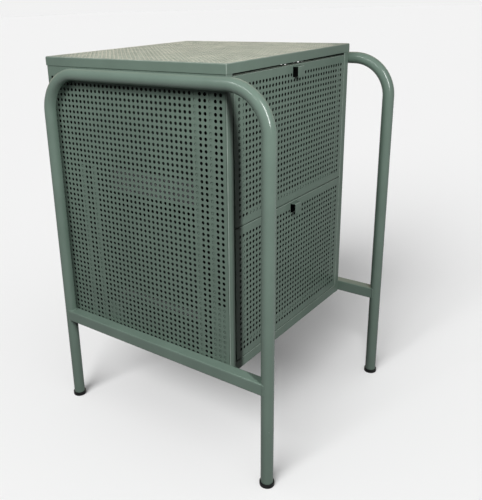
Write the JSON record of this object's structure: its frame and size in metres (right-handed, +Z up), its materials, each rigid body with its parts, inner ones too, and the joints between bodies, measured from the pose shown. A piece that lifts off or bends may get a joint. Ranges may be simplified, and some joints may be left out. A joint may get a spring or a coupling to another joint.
{
  "type": "two-drawer filing cabinet",
  "caption": "Perforated sheet-steel drawer cabinet hung between two bent tube frames, with deep file drawers on telescopic ball slides.",
  "frame": {"origin": "on the floor, midway between the four legs", "axes": "+Z up, drawers open towards -Y, +X to the right of someone facing the back from the front"},
  "size_m": [0.465, 0.5, 0.71],
  "materials": {
    "sheet_enamel": "satin grey-green enamel on sheet steel",
    "frame_enamel": "semi-gloss grey-green enamel on steel tube",
    "foot_plastic": "moulded black plastic",
    "slide_steel": "bright zinc plate on rolled steel",
    "ball_steel": "polished bearing steel",
    "bumper_plastic": "moulded off-white plastic",
    "zinc_fastener": "zinc-plated fasteners"
  },
  "bodies": {
    "cabinet": {"back_panel": "sheet_enamel", "back_rivets": "sheet_enamel", "bottom_front_rail": "sheet_enamel", "bottom_pan": "sheet_enamel", "frame_inserts": "zinc_fastener", "frame_screws": "zinc_fastener", "left_frame_tube": "frame_enamel", "left_front_foot_cap": "foot_plastic", "left_front_post": "sheet_enamel", "left_lower_front_plate": "sheet_enamel", "left_rear_foot_cap": "foot_plastic", "left_rear_post": "sheet_enamel", "left_side_panel": "sheet_enamel", "left_side_stay": "sheet_enamel", "left_stretcher": "frame_enamel", "lower_left_slide_outer": "slide_steel", "lower_right_slide_outer": "slide_steel", "right_frame_tube": "frame_enamel", "right_front_foot_cap": "foot_plastic", "right_front_post": "sheet_enamel", "right_lower_front_plate": "sheet_enamel", "right_rear_foot_cap": "foot_plastic", "right_rear_post": "sheet_enamel", "right_side_panel": "sheet_enamel", "right_side_stay": "sheet_enamel", "right_stretcher": "frame_enamel", "slide_bumpers": "bumper_plastic", "slide_nuts": "zinc_fastener", "slide_screws": "zinc_fastener", "top_lid": "sheet_enamel", "upper_left_slide_outer": "slide_steel", "upper_right_slide_outer": "slide_steel"},
    "upper_drawer": {"upper_drawer_bottom": "sheet_enamel", "upper_drawer_box": "sheet_enamel", "upper_drawer_front": "sheet_enamel", "upper_finger_pull": "sheet_enamel", "upper_left_slide_inner": "slide_steel", "upper_right_slide_inner": "slide_steel", "upper_slide_rivets": "zinc_fastener"},
    "upper_slide_middles": {"upper_left_slide_middle": "slide_steel", "upper_right_slide_middle": "slide_steel"},
    "upper_outer_cages": {"upper_left_outer_ball_cage": "ball_steel", "upper_right_outer_ball_cage": "ball_steel"},
    "upper_inner_cages": {"upper_left_inner_ball_cage": "ball_steel", "upper_right_inner_ball_cage": "ball_steel"},
    "lower_drawer": {"lower_drawer_bottom": "sheet_enamel", "lower_drawer_box": "sheet_enamel", "lower_drawer_front": "sheet_enamel", "lower_finger_pull": "sheet_enamel", "lower_left_slide_inner": "slide_steel", "lower_right_slide_inner": "slide_steel", "lower_slide_rivets": "zinc_fastener"},
    "lower_slide_middles": {"lower_left_slide_middle": "slide_steel", "lower_right_slide_middle": "slide_steel"},
    "lower_outer_cages": {"lower_left_outer_ball_cage": "ball_steel", "lower_right_outer_ball_cage": "ball_steel"},
    "lower_inner_cages": {"lower_left_inner_ball_cage": "ball_steel", "lower_right_inner_ball_cage": "ball_steel"}
  },
  "joints": [
    {"name": "upper_drawer_slide", "type": "slide", "parent": "cabinet", "child": "upper_drawer", "axis": [0, -1, 0], "range_m": [0, 0.35]},
    {"name": "upper_slide_middle_travel", "type": "slide", "parent": "cabinet", "child": "upper_slide_middles", "axis": [0, -1, 0], "range_m": [0, 0.1755]},
    {"name": "upper_outer_cage_travel", "type": "slide", "parent": "cabinet", "child": "upper_outer_cages", "axis": [0, -1, 0], "range_m": [0, 0.088]},
    {"name": "upper_inner_cage_travel", "type": "slide", "parent": "cabinet", "child": "upper_inner_cages", "axis": [0, -1, 0], "range_m": [0, 0.263]},
    {"name": "lower_drawer_slide", "type": "slide", "parent": "cabinet", "child": "lower_drawer", "axis": [0, -1, 0], "range_m": [0, 0.35]},
    {"name": "lower_slide_middle_travel", "type": "slide", "parent": "cabinet", "child": "lower_slide_middles", "axis": [0, -1, 0], "range_m": [0, 0.1755]},
    {"name": "lower_outer_cage_travel", "type": "slide", "parent": "cabinet", "child": "lower_outer_cages", "axis": [0, -1, 0], "range_m": [0, 0.088]},
    {"name": "lower_inner_cage_travel", "type": "slide", "parent": "cabinet", "child": "lower_inner_cages", "axis": [0, -1, 0], "range_m": [0, 0.263]}
  ],
  "couplings": [
    {"joint": "upper_slide_middle_travel", "follows": "upper_drawer_slide", "ratio": 0.5},
    {"joint": "upper_outer_cage_travel", "follows": "upper_drawer_slide", "ratio": 0.25},
    {"joint": "upper_inner_cage_travel", "follows": "upper_drawer_slide", "ratio": 0.75},
    {"joint": "lower_slide_middle_travel", "follows": "lower_drawer_slide", "ratio": 0.5},
    {"joint": "lower_outer_cage_travel", "follows": "lower_drawer_slide", "ratio": 0.25},
    {"joint": "lower_inner_cage_travel", "follows": "lower_drawer_slide", "ratio": 0.75}
  ]
}
